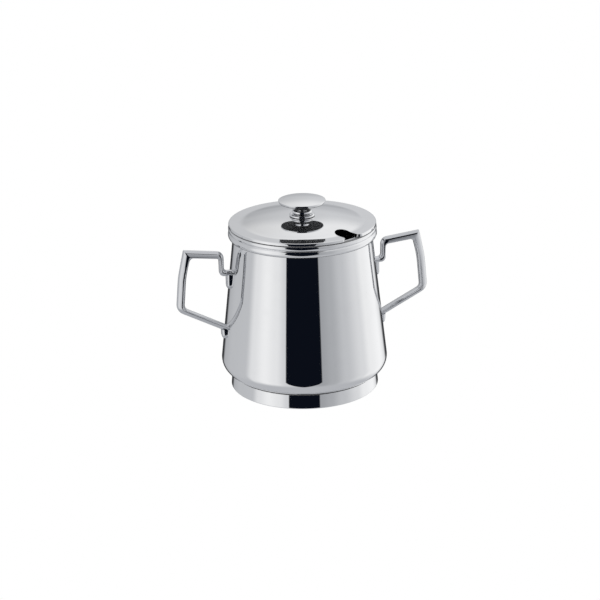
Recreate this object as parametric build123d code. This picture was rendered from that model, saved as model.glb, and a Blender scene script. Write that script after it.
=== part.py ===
from build123d import *
import os
from math import asin, atan2, cos, hypot, radians, sqrt, tan

# Sugar pot with two angular handles and a loose lid that has a spoon notch.
# Millimetres, +Z up. The origin is the centre of the foot on the table.
# The handles lie along X, left at -X and right at +X.

# Driving dimensions of the bowl
sheet = 0.8                  # wall of the bowl and of its bottom
neck_radius = 37.7           # outside of the straight neck behind the rim band
belly_radius = 45.5          # outside of the bowl at its widest
belly_bend = 8.0             # outer radius of the turn from wall to bottom
foot_height = 8.0            # table to the underside of the bowl
shoulder_height = 84.5       # table to the lower edge of the neck
neck_height = 6.5            # shoulder to the mouth's edge
shoulder_bend = 4.0          # soft bend where the neck becomes the sloping wall
bottom_rise = 0.7            # how far the middle of the bottom disc is pressed up
bottom_border = 5.5          # flat of the disc outside its raised middle

# Driving dimensions of the rim band
band_thickness = 1.3         # neck to the groove between the two beads
upper_bead_height = 2.7
upper_bead_bulge = 1.0
lower_bead_height = 3.4
lower_bead_bulge = 1.15

# Driving dimensions of the foot ring
foot_inset = 5.7             # belly to the top of the ring
foot_flare = 0.8             # how far the ring widens on its way down
foot_sheet = 1.1
foot_edge_round = 0.5
foot_inner_round = 0.25
seam_inset = 6.3             # ring to the seam between the wall and the bottom disc

# Driving dimensions of the lid
lid_overhang = 0.75          # how far the lid stands out past the band's face
lid_sheet = 0.9
dome_height = 4.8            # mouth's edge to the top of the domed middle
seat_radius = 7.5            # flat seat for the knob in the middle of the dome
crease_inset = 3.95          # locating skirt to where the dome meets the border
border_height = 1.75         # mouth's edge to the top of the flat border
crease_round = 11.0          # hollow that leads the dome into the border
hem_width = 2.75             # folded hem that rests on the rim band
hem_top_round = 0.5
hem_low_round = 0.4
skirt_clearance = 0.45       # locating skirt to the inside of the neck
skirt_sheet = 0.85
skirt_depth = 6.1            # how far the skirt reaches below the mouth's edge
skirt_edge_round = 0.3

# Driving dimensions of the spoon notch
notch_width = 9.0
notch_depth = 8.0            # lid's edge to the centre of the notch's round end
notch_corner = 2.5           # rounding where the notch opens at the lid's edge
notch_angle = -60.5          # degrees from +X, seen from above

# Driving dimensions of the knob
collar_radius = 6.8
collar_height = 1.4
collar_low_round = 0.35
collar_top_round = 0.7
ring_radius = 5.4
ring_height = 2.3
waist_radius = 3.0
stem_top_radius = 4.6
stem_height = 6.0
cap_radius = 12.8
cap_edge = 1.4
cap_bevel = 0.6
cap_dome = 0.9
cap_edge_round = 0.25
spigot_radius = 2.5
spigot_height = 0.9

# Driving dimensions of the knob's screw
screw_radius = 2.0
screw_hole_clearance = 0.2
thread_depth = 4.2
head_radius = 3.8
head_height = 1.9
head_round = 0.8
recess_width = 0.9
recess_length = 3.8
recess_depth = 1.0
washer_radius = 4.6
washer_thickness = 0.8
washer_split = 0.8

# Driving dimensions of a handle
handle_width = 5.8           # along Y
handle_edge = 0.9            # rounding of the long edges
top_bar = 3.9                # thickness of each stretch of the casting
outer_bar = 4.4
low_bar = 3.3
neck_bar = 2.2
stub_bar = 2.9
low_bar_slope = 27.6         # degrees
top_bar_drop = 5.1           # below the shoulder: top bar's upper face at the neck
top_corner_drop = 2.4        # below the shoulder: sharp outer corner
bow_drop = 17.5              # below the shoulder: where the outer bar bows outwards
low_corner_drop = 36.5       # below the shoulder: rounded outer corner
stub_drop = 18.8             # below the shoulder: underside of the stub
upper_tab_length = 7.5       # underside of the stub to the upper tab's tip
lower_tab_length = 3.9       # underside of the low bar at the wall to the lower tab's tip
neck_reach = 4.2             # out from the wall: inner side of the upright neck
top_corner_reach = 27.45     # out from the wall: sharp outer corner
bow_reach = 29.05            # out from the wall: where the outer bar bows
low_corner_reach = 28.55     # out from the wall: rounded outer corner
tab_root = 2.3               # how far a tab stands out of the wall at its root
tab_tip = 1.3                # and at its tip
corner_round = 3.0           # inside corners of the grip
low_corner_round = 6.0
bow_round = 60.0
elbow_round = 2.6            # outside of the bend from neck to stub
neck_round = 4.0             # outside of the bend from top bar to neck
inner_bend = 1.8
foot_bend = 1.0
sink = 2.5                   # blank left inside the bowl before it is trimmed


# Sizes that follow from the ones above
mouth_height = shoulder_height + neck_height
band_face_radius = neck_radius + band_thickness
foot_top_radius = belly_radius - foot_inset
foot_bottom_radius = foot_top_radius + foot_flare
bottom_radius = foot_top_radius - seam_inset
bottom_flat_radius = bottom_radius - bottom_border
turn_radius = belly_radius - belly_bend
turn_height = foot_height + belly_bend
neck_offset = neck_radius - turn_radius
turn_drop = shoulder_height - turn_height
lean = asin(belly_bend / hypot(neck_offset, turn_drop)) - atan2(neck_offset, turn_drop)
mouth_radius = neck_radius - sheet
skirt_radius = mouth_radius - skirt_clearance
lid_radius = band_face_radius + lid_overhang
crease_radius = skirt_radius - crease_inset
notch_reach = lid_radius - notch_depth
lid_top = mouth_height + dome_height
border_top = mouth_height + border_height
dome_width = crease_radius - seat_radius
dome_fall = lid_top - border_top
dome_curve = (dome_width**2 + dome_fall**2) / (2 * dome_fall)
collar_top = lid_top + collar_height
cap_low = collar_top + stem_height
cap_high = cap_low + cap_edge
dome_under = lid_top - lid_sheet
head_top = dome_under - washer_thickness
hole_radius = screw_radius + screw_hole_clearance


def wall_radius(height):
    """Outside of the sloping wall at a height above the table."""
    return neck_radius + (shoulder_height - height) * tan(lean)


def outline(*corners):
    """A closed face in the XZ plane from corners, each with its rounding."""
    points = [(across, up) for across, up, rounding in corners]
    roundings = [rounding for across, up, rounding in corners]
    with BuildSketch(Plane.XZ) as sketch:
        with BuildLine():
            FilletPolyline(*points, radius=roundings, close=True)
        make_face()
    return sketch.sketch


def turned(face):
    """A solid of revolution about Z."""
    return revolve(face, Axis.Z)


def make_bowl_envelope():
    """The bowl's outside as one solid, which everything on it is trimmed to."""
    return turned(outline(
        (0, mouth_height, 0),
        (neck_radius, mouth_height, 0),
        (neck_radius, shoulder_height, shoulder_bend),
        (wall_radius(foot_height), foot_height, belly_bend),
        (0, foot_height, 0)))


def make_bowl_shell():
    """Drawn wall, turned in at the bottom to a flange that holds the disc."""
    inner_shift = sheet / cos(lean)
    inner_shoulder = shoulder_height - (inner_shift - sheet) / tan(lean)
    inner_bottom = foot_height + sheet
    return turned(outline(
        (neck_radius, mouth_height, 0),
        (neck_radius, shoulder_height, shoulder_bend),
        (wall_radius(foot_height), foot_height, belly_bend),
        (bottom_radius, foot_height, 0),
        (bottom_radius, inner_bottom, 0),
        (wall_radius(inner_bottom) - inner_shift, inner_bottom, belly_bend - sheet),
        (mouth_radius, inner_shoulder, shoulder_bend + sheet),
        (mouth_radius, mouth_height, 0)))


def make_bowl_bottom():
    """Pressed disc with a raised middle, flush with the flange round it."""
    low = foot_height
    return turned(outline(
        (0, low + bottom_rise, 0),
        (bottom_flat_radius, low + bottom_rise, sheet),
        (bottom_flat_radius + bottom_rise, low, sheet),
        (bottom_radius, low, 0),
        (bottom_radius, low + sheet, 0),
        (bottom_flat_radius + bottom_rise, low + sheet, sheet),
        (bottom_flat_radius, low + bottom_rise + sheet, sheet),
        (0, low + bottom_rise + sheet, 0)))


def make_rim_band(envelope):
    """Solid band round the neck with two half-round beads."""
    groove = mouth_height - upper_bead_height
    low = groove - lower_bead_height
    upper_middle = (band_face_radius + upper_bead_bulge, (mouth_height + groove) / 2)
    lower_middle = (band_face_radius + lower_bead_bulge, (groove + low) / 2)
    with BuildSketch(Plane.XZ) as sketch:
        with BuildLine():
            Polyline((neck_radius, shoulder_height), (neck_radius, mouth_height),
                     (band_face_radius, mouth_height))
            ThreePointArc((band_face_radius, mouth_height), upper_middle,
                          (band_face_radius, groove))
            ThreePointArc((band_face_radius, groove), lower_middle,
                          (band_face_radius, low))
            Line((band_face_radius, low), (neck_radius, shoulder_height))
        make_face()
    return turned(sketch.sketch) - envelope


def make_foot_ring(envelope):
    """Spun ring that flares slightly and is trimmed to the bowl's turn."""
    blank_top = turn_height
    flare = (foot_bottom_radius - foot_top_radius) / foot_height
    top_radius = foot_bottom_radius - flare * blank_top
    ring = turned(outline(
        (top_radius, blank_top, 0),
        (foot_bottom_radius, 0, foot_edge_round),
        (foot_bottom_radius - foot_sheet, 0, foot_inner_round),
        (top_radius - foot_sheet, blank_top, 0)))
    return ring - envelope


def dome_drop(radius):
    """How far the dome has fallen at a distance from the axis, past the flat seat."""
    return dome_curve - sqrt(dome_curve**2 - (radius - seat_radius)**2)


def make_notch_cutter():
    """Round-ended slot that flares out where it leaves the lid's edge."""
    half = notch_width / 2
    flared = half + notch_corner
    opening = sqrt(lid_radius**2 - flared**2)
    flare_start = opening - notch_corner
    outside = lid_radius + notch_corner
    curve = notch_corner * cos(radians(45))
    with BuildSketch() as sketch:
        with BuildLine():
            ThreePointArc((notch_reach, half), (notch_reach - half, 0), (notch_reach, -half))
            Line((notch_reach, -half), (flare_start, -half))
            ThreePointArc((flare_start, -half), (flare_start + curve, curve - flared),
                          (opening, -flared))
            Polyline((opening, -flared), (outside, -flared), (outside, flared),
                     (opening, flared))
            ThreePointArc((opening, flared), (flare_start + curve, flared - curve),
                          (flare_start, half))
            Line((flare_start, half), (notch_reach, half))
        make_face()
    return extrude(sketch.sketch, lid_top).rotate(Axis.Z, notch_angle)


def make_lid_plate(notch):
    """Pressed lid: domed middle, soft crease, flat border and folded hem."""
    half = (seat_radius + crease_radius) / 2
    hem_inside = lid_radius - hem_width
    under = lid_sheet
    with BuildSketch(Plane.XZ) as sketch:
        with BuildLine():
            Line((0, lid_top), (seat_radius, lid_top))
            ThreePointArc((seat_radius, lid_top), (half, lid_top - dome_drop(half)),
                          (crease_radius, border_top))
            Polyline((crease_radius, border_top), (lid_radius, border_top),
                     (lid_radius, mouth_height), (hem_inside, mouth_height),
                     (hem_inside, border_top - under), (crease_radius, border_top - under))
            ThreePointArc((crease_radius, border_top - under),
                          (half, dome_under - dome_drop(half)), (seat_radius, dome_under))
            Polyline((seat_radius, dome_under), (0, dome_under), (0, lid_top))
        make_face()
        roundings = [
            (crease_radius, border_top, crease_round),
            (lid_radius, border_top, hem_top_round),
            (lid_radius, mouth_height, hem_low_round),
            (crease_radius, border_top - under, crease_round + under)]
        for across, up, rounding in roundings:
            corner = sketch.vertices().sort_by_distance((across, up, 0))[0]
            fillet(corner, rounding)
    screw_hole = Cylinder(hole_radius, 2 * lid_top)
    return turned(sketch.sketch) - screw_hole - notch


def make_lid_skirt(notch):
    """Locating skirt welded under the border, open at the spoon notch."""
    skirt = turned(outline(
        (skirt_radius, mouth_height - skirt_depth, skirt_edge_round),
        (skirt_radius, border_top - lid_sheet, 0),
        (skirt_radius - skirt_sheet, border_top - lid_sheet, 0),
        (skirt_radius - skirt_sheet, mouth_height - skirt_depth, skirt_edge_round)))
    return skirt - notch


def make_knob_collar():
    """Round collar between the lid and the stem."""
    return turned(outline(
        (hole_radius, lid_top, 0),
        (collar_radius, lid_top, collar_low_round),
        (collar_radius, collar_top, collar_top_round),
        (hole_radius, collar_top, 0)))


def make_knob_stem():
    """Turned stem: a ring, a waist and a flare, bored from below for the screw."""
    ring_top = collar_top + ring_height
    waist_height = (ring_top + cap_low) / 2
    ring_foot = ring_radius - ring_height / 2
    with BuildSketch(Plane.XZ) as sketch:
        with BuildLine():
            Polyline((ring_foot, collar_top), (0, collar_top), (0, cap_low + spigot_height),
                     (spigot_radius, cap_low + spigot_height), (spigot_radius, cap_low),
                     (stem_top_radius, cap_low))
            ThreePointArc((stem_top_radius, cap_low), (waist_radius, waist_height),
                          (ring_foot, ring_top))
            ThreePointArc((ring_foot, ring_top), (ring_radius, (collar_top + ring_top) / 2),
                          (ring_foot, collar_top))
        make_face()
    bore = Cylinder(screw_radius, 2 * (collar_top + thread_depth))
    return turned(sketch.sketch) - bore


def make_knob_cap():
    """Domed disc with a bevelled edge and a socket for the stem's spigot."""
    half = cap_radius / 2
    dome = (cap_radius**2 + cap_dome**2) / (2 * cap_dome)
    middle = cap_high + cap_dome - dome + sqrt(dome**2 - half**2)
    with BuildSketch(Plane.XZ) as sketch:
        with BuildLine():
            Polyline((0, cap_high + cap_dome), (0, cap_low + spigot_height),
                     (spigot_radius, cap_low + spigot_height), (spigot_radius, cap_low),
                     (cap_radius - cap_bevel, cap_low), (cap_radius, cap_high))
            ThreePointArc((cap_radius, cap_high), (half, middle), (0, cap_high + cap_dome))
        make_face()
        for across, up in ((cap_radius, cap_high), (cap_radius - cap_bevel, cap_low)):
            fillet(sketch.vertices().sort_by_distance((across, up, 0))[0], cap_edge_round)
    return turned(sketch.sketch)


def make_knob_screw():
    """Pan-head screw that holds the knob from inside the lid."""
    head = turned(outline(
        (0, head_top - head_height, 0),
        (head_radius, head_top - head_height, head_round),
        (head_radius, head_top, 0),
        (0, head_top, 0)))
    shank_top = collar_top + thread_depth
    shank = Pos(0, 0, head_top) * Cylinder(
        screw_radius, shank_top - head_top, align=(Align.CENTER, Align.CENTER, Align.MIN))
    recess_place = Pos(0, 0, head_top - head_height + recess_depth / 2)
    recess = recess_place * (Box(recess_length, recess_width, recess_depth)
                             + Box(recess_width, recess_length, recess_depth))
    return head + shank - recess


def make_spring_washer():
    """Split washer between the screw's head and the lid."""
    ring = turned(outline(
        (hole_radius, head_top, 0),
        (washer_radius, head_top, 0),
        (washer_radius, dome_under, 0),
        (hole_radius, dome_under, 0)))
    split = Pos(washer_radius, 0, head_top) * Box(
        2 * washer_radius, washer_split, 2 * washer_thickness,
        align=(Align.CENTER, Align.CENTER, Align.MIN))
    return ring - split


def tab_end_cutter(tip_height):
    """What lies outside the round lower end of a tab."""
    round_end = handle_width / 2
    start = wall_radius(tip_height) - sink
    depth = 4 * sink
    outwards = (Align.MIN, Align.CENTER, Align.CENTER)
    block = Pos(start, 0, tip_height) * Box(
        depth, 2 * handle_width, 2 * round_end, align=outwards)
    disc = Pos(start + depth / 2, 0, tip_height + round_end) * Rot(0, 90, 0) * Cylinder(
        round_end, depth)
    return block - disc


def from_shoulder(drop, reach):
    """Across and up of a point below the shoulder, measured out from the wall."""
    height = shoulder_height - drop
    return wall_radius(height) + reach, height


def make_right_handle(envelope):
    """Cast handle on +X: an angular grip, an upright neck, and two wall tabs."""
    top_corner = from_shoulder(top_corner_drop, top_corner_reach)
    bow_corner = from_shoulder(bow_drop, bow_reach)
    low_corner = from_shoulder(low_corner_drop, low_corner_reach)
    neck_inside, stub_height = from_shoulder(stub_drop, neck_reach)
    neck_outside = neck_inside + neck_bar
    neck_top = shoulder_height - top_bar_drop
    upper_tab_end = stub_height - upper_tab_length
    slope = tan(radians(low_bar_slope))
    top_slope = (top_corner[1] - neck_top) / (top_corner[0] - neck_inside)
    upper_lean = (bow_corner[0] - top_corner[0]) / (top_corner[1] - bow_corner[1])
    lower_lean = (low_corner[0] - bow_corner[0]) / (bow_corner[1] - low_corner[1])

    def top_underside(across):
        return neck_top + (across - neck_inside) * top_slope - top_bar * hypot(1, top_slope)

    def low_face(across):
        return low_corner[1] - (low_corner[0] - across) * slope

    def low_upper_face(across):
        return low_face(across) + low_bar * hypot(1, slope)

    # inside corners of the grip, where two offset faces cross
    bow_inside = bow_corner[0] - outer_bar * hypot(1, (upper_lean + lower_lean) / 2)
    rise = top_underside(bow_inside) - bow_corner[1]
    fall = bow_corner[1] - low_upper_face(bow_inside)
    top_inside = bow_inside - rise * upper_lean / (1 + top_slope * upper_lean)
    low_inside = bow_inside + fall * lower_lean / (1 + slope * lower_lean)

    # where the low bar's underside meets the sloping wall
    wall_slope = tan(lean)
    level = wall_radius(low_face(0)) / (1 + slope * wall_slope)
    lower_tab_end = low_face(level) - lower_tab_length
    upper_root = wall_radius(stub_height) + tab_root
    lower_root = level + tab_root
    upper_sunk = wall_radius(upper_tab_end) - 2 * sink
    lower_sunk = wall_radius(lower_tab_end) - sink
    grip = outline(
        (upper_sunk, stub_height + stub_bar, 0),
        (neck_inside, stub_height + stub_bar, inner_bend),
        (neck_inside, neck_top, neck_round),
        (*top_corner, 0),
        (*bow_corner, bow_round),
        (*low_corner, low_corner_round),
        (lower_root, low_face(lower_root), inner_bend),
        (wall_radius(lower_tab_end) + tab_tip, lower_tab_end, foot_bend),
        (lower_sunk, lower_tab_end, 0),
        (lower_sunk, low_upper_face(lower_sunk), 0),
        (low_inside, low_upper_face(low_inside), corner_round),
        (bow_inside, bow_corner[1], bow_round),
        (top_inside, top_underside(top_inside), corner_round),
        (neck_outside, top_underside(neck_outside), inner_bend),
        (neck_outside, stub_height, elbow_round),
        (upper_root, stub_height, foot_bend),
        (wall_radius(upper_tab_end) + tab_tip, upper_tab_end, foot_bend),
        (upper_sunk, upper_tab_end, 0))
    blank = extrude(grip, handle_width / 2, both=True)
    sides = blank.faces().filter_by(Axis.Y)
    blank = fillet(sides.edges(), handle_edge)
    blank = blank - tab_end_cutter(upper_tab_end) - tab_end_cutter(lower_tab_end)
    return blank - envelope


def main():
    os.makedirs("parts", exist_ok=True)
    envelope = make_bowl_envelope()
    notch = make_notch_cutter()
    lid_plate = make_lid_plate(notch)
    right_handle = make_right_handle(envelope)
    pieces = {
        "bowl_shell": make_bowl_shell(),
        "bowl_bottom": make_bowl_bottom(),
        "rim_band": make_rim_band(envelope),
        "foot_ring": make_foot_ring(envelope),
        "left_handle": right_handle.rotate(Axis.Z, 180),
        "right_handle": right_handle,
        "lid_plate": lid_plate,
        "lid_skirt": make_lid_skirt(notch),
        "knob_collar": make_knob_collar(),
        "knob_stem": make_knob_stem(),
        "knob_cap": make_knob_cap(),
        "knob_screw": make_knob_screw(),
        "spring_washer": make_spring_washer(),
    }
    for name, piece in pieces.items():
        export_step(piece, f"parts/{name}.step")


main()
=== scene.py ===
"""Polished steel sugar pot: a flared bowl on a ring foot, two cast handles and a loose lid.

Metres, +Z up. The origin is the centre of the foot on the table, the handles lie
along X, and the lid's spoon notch is on the side of the viewer.
"""

import math
from collections import namedtuple

import bmesh
import bpy
from mathutils import Matrix, Vector


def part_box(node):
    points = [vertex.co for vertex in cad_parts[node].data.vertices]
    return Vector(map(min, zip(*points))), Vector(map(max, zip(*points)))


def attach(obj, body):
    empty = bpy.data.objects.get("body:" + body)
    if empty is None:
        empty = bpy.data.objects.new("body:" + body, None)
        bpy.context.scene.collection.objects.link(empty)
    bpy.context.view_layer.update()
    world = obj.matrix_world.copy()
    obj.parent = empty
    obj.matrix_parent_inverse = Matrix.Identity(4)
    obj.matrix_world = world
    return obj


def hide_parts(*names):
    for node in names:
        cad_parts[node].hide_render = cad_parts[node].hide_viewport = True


bl_info = {
    "name": "Polished Steel Sugar Pot",
    "version": (1, 0, 0),
    "blender": (4, 5, 0),
    "location": "3D View > Sidebar > Sugar Pot",
    "description": "Builds a polished steel sugar pot with a notched lid and its studio",
    "category": "Object",
}

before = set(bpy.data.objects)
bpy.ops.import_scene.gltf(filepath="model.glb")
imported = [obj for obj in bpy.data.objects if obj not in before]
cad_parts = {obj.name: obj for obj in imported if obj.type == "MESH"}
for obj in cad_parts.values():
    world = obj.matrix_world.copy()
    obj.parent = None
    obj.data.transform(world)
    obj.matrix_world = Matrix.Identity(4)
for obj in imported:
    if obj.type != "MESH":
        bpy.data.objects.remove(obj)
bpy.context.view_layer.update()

JOIN_DISTANCE = 1e-6            # points closer than this are one point
LONGEST_STEP = 0.0011           # longest straight step along an outline
GUARD_STEP = 0.00012            # short step that keeps a bend's shading off a flat stretch
ARC_STEP = math.radians(5)      # turn of an arc from one outline point to the next
SHARP_EDGE = math.radians(30)   # faces that meet at more than this stay crisp
HANDLE_BEND_STEPS = 14          # steps round each bend of a handle
HANDLE_RING = 48                # points round a handle's section
TAB_END_STEPS = 11              # sections round the lower end of a wall tab
TAB_END_STEP = math.radians(8)  # turn from one of these sections to the next


def top_of(node):
    """Highest corner of a part of the frame."""
    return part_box(node)[1]


def foot_of(node):
    """Lowest corner of a part of the frame."""
    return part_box(node)[0]


# Sizes that a user would change


def length(name, description, default):
    """A property in metres."""
    return bpy.props.FloatProperty(
        name=name, description=description, default=default,
        precision=5, unit="LENGTH", subtype="DISTANCE")


def share(name, description, default):
    """A property from nought to one."""
    return bpy.props.FloatProperty(
        name=name, description=description, default=default, min=0, max=1, subtype="FACTOR")


def turn(name, description, degrees):
    """A property that holds an angle."""
    return bpy.props.FloatProperty(
        name=name, description=description, default=math.radians(degrees),
        unit="ROTATION", subtype="ANGLE")


def colour(name, description, default):
    """A property that holds a colour."""
    return bpy.props.FloatVectorProperty(
        name=name, description=description, default=default,
        size=3, min=0, max=1, subtype="COLOR")


def fullness(name, description, default):
    """A property that holds the power of a section's curve."""
    return bpy.props.FloatProperty(
        name=name, description=description, default=default, min=1.1, max=6)


def count(name, description, default):
    """A property that holds a whole number."""
    return bpy.props.IntProperty(name=name, description=description, default=default, min=3)


class BowlSizes(bpy.types.PropertyGroup):
    """Bowl, bottom disc, rim band and foot ring."""
    sheet: length("Sheet", "Wall of the bowl", 0.0008)
    belly_radius: length("Belly radius", "Outside at the widest place", top_of("bowl_shell").x)
    neck_radius: length("Neck radius", "Outside of the straight neck", 0.0377)
    belly_bend: length("Belly bend", "Outer radius of the turn to the bottom", 0.008)
    underside: length("Underside", "Table to the bottom", foot_of("bowl_shell").z)
    mouth: length("Mouth", "Table to the mouth's edge", top_of("bowl_shell").z)
    neck_height: length("Neck height", "Height of the straight neck", 0.0065)
    shoulder_bend: length("Shoulder bend", "Bend from neck to wall", 0.004)
    seam_radius: length("Seam radius", "Seam of the bottom disc", top_of("bowl_bottom").x)
    press_radius: length("Press radius", "Edge of the disc's raised middle", 0.028)
    press_height: length("Press height", "Rise of the disc's middle", 0.0007)
    band_thickness: length("Band thickness", "Neck to the groove between the beads", 0.0017)
    upper_bead: length("Upper bead", "Height of the upper bead", 0.0027)
    upper_bulge: length("Upper bulge", "How far the upper bead stands out", 0.0006)
    lower_bead: length("Lower bead", "Height of the lower bead", 0.0034)
    lower_bulge: length("Lower bulge", "How far the lower bead stands out", 0.00075)
    foot_radius: length("Foot radius", "Outside of the ring on the table", 0.0406)
    foot_flare: length("Foot flare", "How far the ring widens downwards", 0.0008)
    foot_sheet: length("Foot sheet", "Thickness of the ring", 0.0011)
    foot_round: length("Foot round", "Rounding of the ring's lower edge", 0.0005)


class LidSizes(bpy.types.PropertyGroup):
    """Pressed lid, its locating skirt and the spoon notch."""
    radius: length("Radius", "Outside of the lid", top_of("lid_plate").x)
    sheet: length("Sheet", "Thickness of the lid", 0.0009)
    top: length("Top", "Table to the top of the dome", top_of("lid_plate").z)
    seat_radius: length("Seat radius", "Flat seat under the knob", 0.0075)
    crease_radius: length("Crease radius", "Where dome and border meet", 0.0325)
    crease_round: length("Crease round", "Hollow that leads the dome into the border", 0.011)
    border_height: length("Border height", "Mouth to the top of the border", 0.00175)
    hem_width: length("Hem width", "Folded hem on the rim band", 0.00275)
    hem_top_round: length("Hem top round", "Upper rounding of the hem", 0.0005)
    hem_low_round: length("Hem low round", "Lower rounding of the hem", 0.0004)
    skirt_radius: length("Skirt radius", "Outside of the skirt", top_of("lid_skirt").x)
    skirt_sheet: length("Skirt sheet", "Thickness of the skirt", 0.00085)
    skirt_round: length("Skirt round", "Rounding of the skirt's edge", 0.0003)
    notch_width: length("Notch width", "Width of the spoon notch", 0.009)
    notch_depth: length("Notch depth", "Lid's edge to the middle of the round end", 0.008)
    notch_corner: length("Notch corner", "Flare of the notch at the lid's edge", 0.0025)
    notch_angle: turn("Notch angle", "Place of the notch, from the right handle", -60.5)


class KnobSizes(bpy.types.PropertyGroup):
    """Collar, stem and cap of the knob."""
    collar_radius: length("Collar radius", "Outside of the collar", top_of("knob_collar").x)
    collar_low_round: length("Collar low round", "Lower rounding of the collar", 0.00035)
    collar_top_round: length("Collar top round", "Upper rounding of the collar", 0.0007)
    bore_radius: length("Bore radius", "Hole for the screw in lid and collar", 0.0022)
    ring_radius: length("Ring radius", "Ring at the stem's foot", 0.0054)
    ring_height: length("Ring height", "Height of the ring", 0.0023)
    waist_radius: length("Waist radius", "Narrowest place of the stem", 0.003)
    flare_radius: length("Flare radius", "Stem under the cap", 0.0046)
    spigot_radius: length("Spigot radius", "Spigot inside the cap", 0.0025)
    cap_radius: length("Cap radius", "Outside of the cap", 0.0128)
    cap_edge: length("Cap edge", "Height of the cap's edge", 0.0014)
    cap_bevel: length("Cap bevel", "Slope of the cap's edge", 0.0006)
    cap_dome: length("Cap dome", "Rise of the cap's top", 0.0009)
    cap_round: length("Cap round", "Rounding of the cap's edge", 0.00025)


class HandleSizes(bpy.types.PropertyGroup):
    """Cast handles: drops are below the bowl's shoulder, reaches are out from its wall."""
    width: length("Width", "Handle from front to back", 0.0058)
    top_bar: length("Top bar", "Thickness of the top bar", 0.0039)
    outer_bar: length("Outer bar", "Thickness of the outer bar", 0.0044)
    low_bar: length("Low bar", "Thickness of the low bar", 0.0033)
    neck_bar: length("Neck bar", "Thickness of the upright neck", 0.0027)
    stub_bar: length("Stub bar", "Thickness of the stub to the wall", 0.0029)
    low_bar_slope: turn("Low bar slope", "Slope of the low bar", 27.6)
    top_bar_drop: length("Top bar drop", "Top bar's upper face at the neck", 0.0051)
    top_corner_drop: length("Top corner drop", "Sharp outer corner", 0.0024)
    bow_drop: length("Bow drop", "Where the outer bar bows outwards", 0.0175)
    low_corner_drop: length("Low corner drop", "Rounded outer corner", 0.0365)
    stub_drop: length("Stub drop", "Underside of the stub", 0.0188)
    upper_tab: length("Upper tab", "Stub to the upper tab's tip", 0.0075)
    lower_tab: length("Lower tab", "Low bar to the lower tab's tip", 0.0039)
    neck_reach: length("Neck reach", "Inner side of the neck", 0.0038)
    top_corner_reach: length("Top corner reach", "Sharp outer corner", 0.02745)
    bow_reach: length("Bow reach", "Where the outer bar bows", 0.02905)
    low_corner_reach: length("Low corner reach", "Rounded outer corner", 0.02855)
    tab_root: length("Tab root", "Thickness of a tab at its root", 0.003)
    tab_tip: length("Tab tip", "Thickness of a tab at its tip", 0.002)
    top_corner_round: length("Top corner round", "Edge of the sharp corner", 0.00025)
    corner_round: length("Corner round", "Inside corners of the grip", 0.003)
    low_corner_round: length("Low corner round", "Outer low corner", 0.006)
    bow_round: length("Bow round", "Bow of the outer bar", 0.06)
    elbow_round: length("Elbow round", "Outside of the bend to the stub", 0.0026)
    neck_round: length("Neck round", "Outside of the bend to the neck", 0.004)
    inner_bend: length("Inner bend", "Inside of these bends", 0.0018)
    sunk: length("Sunk", "How far the ends reach into the wall", 0.00035)
    neck_crown: fullness("Neck crown", "Lower values make the neck's ridge sharper", 1.7)
    top_crown: fullness("Top crown", "Lower values make the top bar's ridge sharper", 1.7)
    bar_crown: fullness("Bar crown", "Lower values make the other bars' ridge sharper", 1.25)
    fullness: fullness("Fullness", "Higher values make the section fuller", 2.0)
    stub_ridge: share("Stub ridge", "Ridge at the stub, from outer to inner edge", 0.5)
    neck_ridge: share("Neck ridge", "Ridge where neck and top bar meet", 0.78)
    top_ridge: share("Top ridge", "Ridge at the sharp corner", 0.86)
    bow_ridge: share("Bow ridge", "Ridge at the bow", 0.62)
    low_ridge: share("Low ridge", "Ridge at the low corner", 0.64)
    end_ridge: share("End ridge", "Ridge where the low bar meets the wall", 0.7)
    tab_width: share("Tab width", "Width of a tab against the bars", 0.97)
    tab_fullness: share("Tab fullness", "Lower values make the tabs fuller", 0.75)


class FinishLook(bpy.types.PropertyGroup):
    """Colours and polish of the steel."""
    steel: colour("Steel", "Colour of the polished steel", (0.80, 0.805, 0.815))
    cast_steel: colour("Cast steel", "Colour of the handles", (0.64, 0.65, 0.67))
    plain_steel: colour("Plain steel", "Colour of screw and washer", (0.62, 0.63, 0.64))
    polish: share("Polish", "Roughness of the mirror polish", 0.035)
    cast_polish: share("Cast polish", "Roughness of the handles", 0.07)
    plain_polish: share("Plain polish", "Roughness of screw and washer", 0.28)


class StudioLook(bpy.types.PropertyGroup):
    """Camera, light tent and the fineness of turned pieces."""
    distance: length("Distance", "Camera to the pot", 1.0)
    aim_height: length("Aim height", "Height on the axis that the camera looks at", 0.045)
    side_step: length("Side step", "How far the camera stands to its left", 0.00047)
    azimuth: turn("Azimuth", "Camera and the tent's front, round the pot", -13)
    elevation: turn("Elevation", "Camera above the table", 20.15)
    roll: turn("Roll", "Camera about its own line of sight", -0.96)
    lens: bpy.props.FloatProperty(
        name="Lens", description="Focal length in millimetres", default=109.69,
        unit="CAMERA")
    aim_right: bpy.props.FloatProperty(
        name="Aim right", description="Pixels from the axis to the picture's middle",
        default=2.73)
    aim_down: bpy.props.FloatProperty(
        name="Aim down", description="Pixels from the aimed height to the middle",
        default=4.22)
    backdrop: colour("Backdrop", "Floor and background", (1, 1, 1))
    opening_middle: turn("Opening middle", "Middle of the tent's dark opening", -1.4)
    opening_half: turn("Opening half", "Half of the opening's width", 26.3)
    opening_top: turn("Opening top", "Upper edge of the opening", 65)
    opening_bend: turn("Opening bend", "Where its lower end starts to round", -3)
    opening_foot: turn("Opening foot", "Lower edge of the opening", -41)
    opening_slab: turn("Opening slab", "Height above which it keeps its width", 40)
    opening_soft: turn("Opening softness", "Width of the opening's edge", 0.9)
    segments: count("Segments", "Steps round a turned piece", 360)


# Outlines of turned pieces, as points of radius and height


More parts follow.
